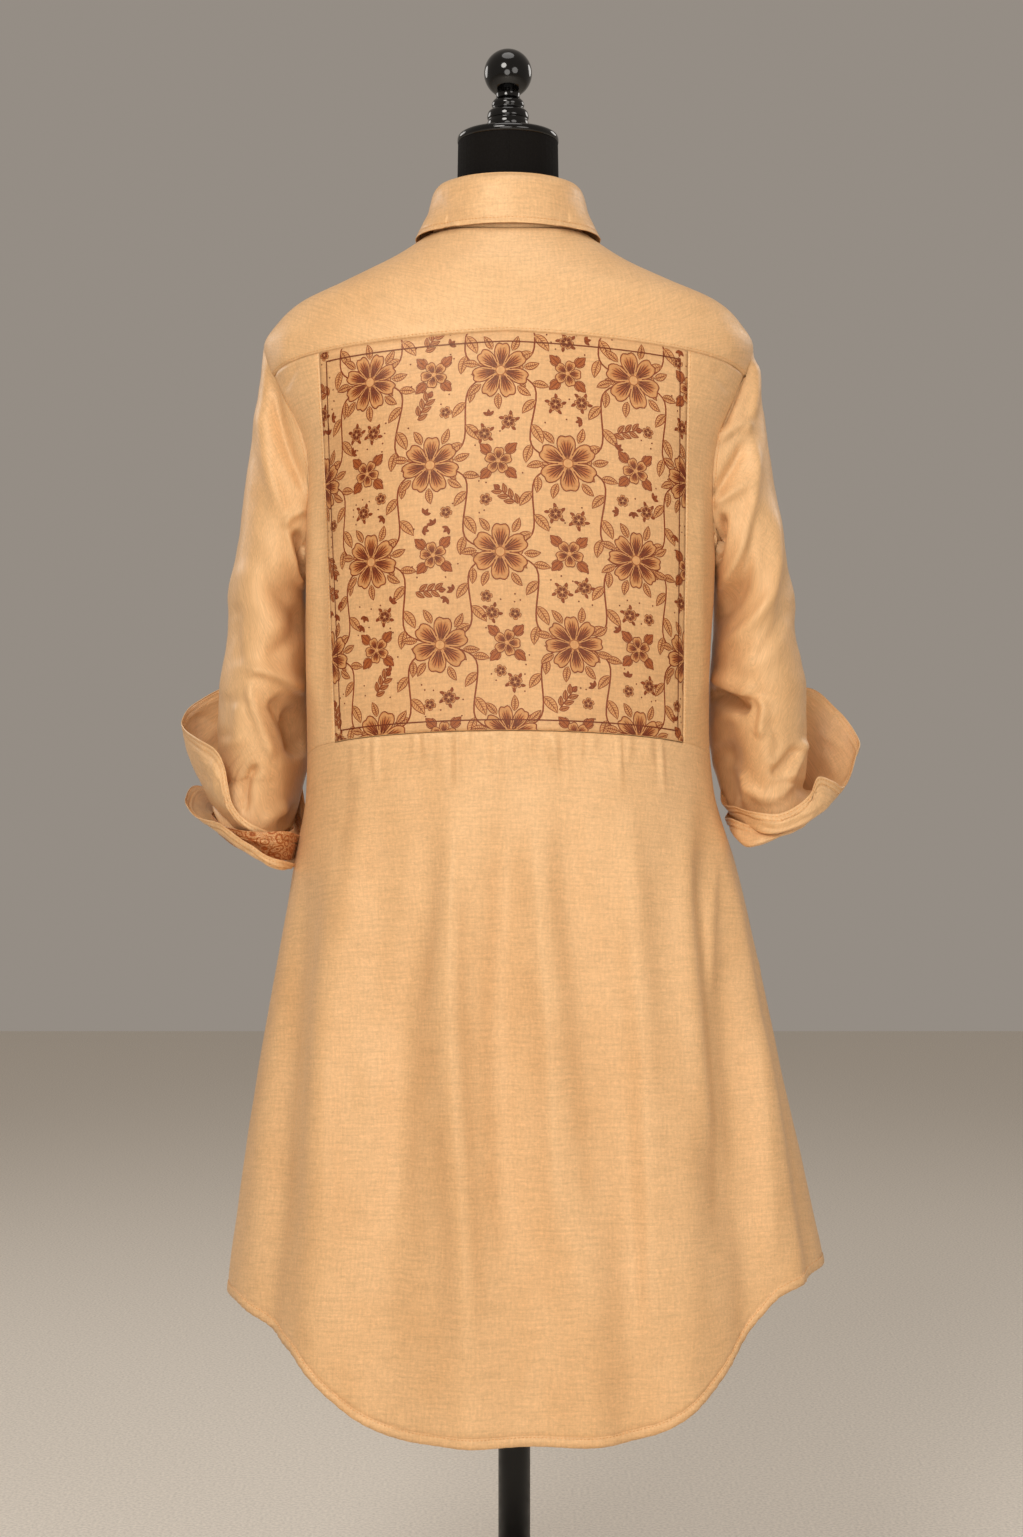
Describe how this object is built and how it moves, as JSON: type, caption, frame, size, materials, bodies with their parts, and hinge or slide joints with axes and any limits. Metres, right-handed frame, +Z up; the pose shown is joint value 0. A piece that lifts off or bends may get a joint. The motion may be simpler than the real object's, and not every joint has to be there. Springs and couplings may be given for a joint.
{
  "type": "shirt dress on a dress form",
  "caption": "Loose collared shirt dress with a printed back panel, rolled sleeves and a shirt-tail hem, on a limbless dress form with a pole and a round base.",
  "frame": {"origin": "on the flat underside of the round base, below the centre line of the dress", "axes": "+Z up, the back of the dress faces -Y, +X to the wearer's right"},
  "size_m": [0.6407, 0.3598, 1.596],
  "materials": {
    "tan_cloth": "golden tan slub weave with a soft sheen",
    "printed_cloth": "tan weave with a brown floral block print",
    "button": "polished tan",
    "form_cover": "matt black jersey",
    "gloss_black": "gloss black lacquer",
    "black_metal": "satin black"
  },
  "bodies": {
    "root": {"back_yoke": "tan_cloth", "print_panel": "printed_cloth", "back": "tan_cloth", "front_left": "tan_cloth", "front_right": "tan_cloth", "placket": "tan_cloth", "button_1": "button", "button_2": "button", "button_3": "button", "button_4": "button", "button_5": "button", "button_6": "button", "button_7": "button", "button_8": "button", "button_9": "button", "sleeve_left": "tan_cloth", "sleeve_right": "tan_cloth", "cuff_left": "tan_cloth", "cuff_left_facing": "printed_cloth", "cuff_left_turn": "tan_cloth", "cuff_right": "tan_cloth", "cuff_right_turn": "tan_cloth", "collar_stand": "tan_cloth", "collar_fall": "tan_cloth", "form_torso": "form_cover", "form_cap": "gloss_black", "form_finial": "gloss_black", "form_pole": "black_metal", "form_base": "black_metal"}
  },
  "joints": []
}
